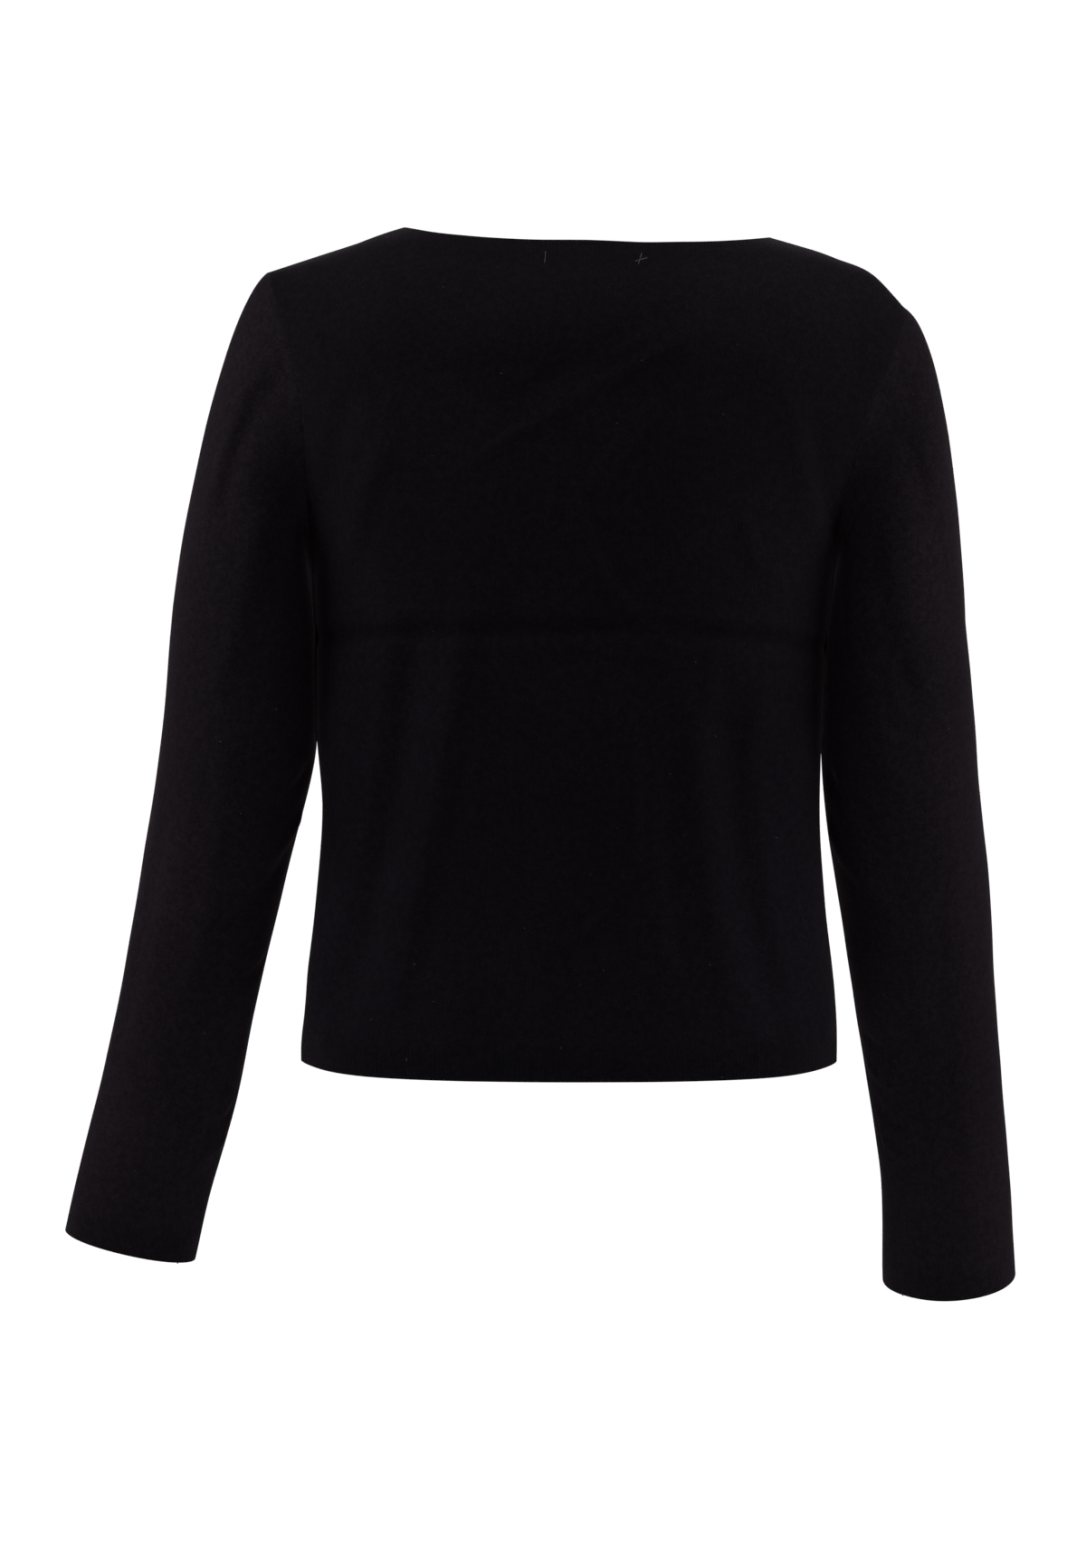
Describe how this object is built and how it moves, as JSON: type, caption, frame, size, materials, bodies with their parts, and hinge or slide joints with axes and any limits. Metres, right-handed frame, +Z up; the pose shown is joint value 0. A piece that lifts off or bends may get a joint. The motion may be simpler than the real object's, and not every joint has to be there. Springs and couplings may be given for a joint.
{
  "type": "cardigan",
  "caption": "Cropped fine-knit cardigan, filled out as if worn, with a wide shallow neck, long set-in sleeves and plain edges; the fronts meet edge to edge.",
  "frame": {"origin": "midway between the two points where the shoulder seams meet the neckline, where the wearer's shoulders carry it", "axes": "+Z up, -Y the wearer's front, +X the wearer's left"},
  "size_m": [0.5939, 0.2558, 0.6599],
  "materials": {
    "knit": "matt double knit with a soft nap"
  },
  "bodies": {
    "root": {"back": "knit", "front_left": "knit", "front_right": "knit", "sleeve_left": "knit", "sleeve_right": "knit"}
  },
  "joints": []
}
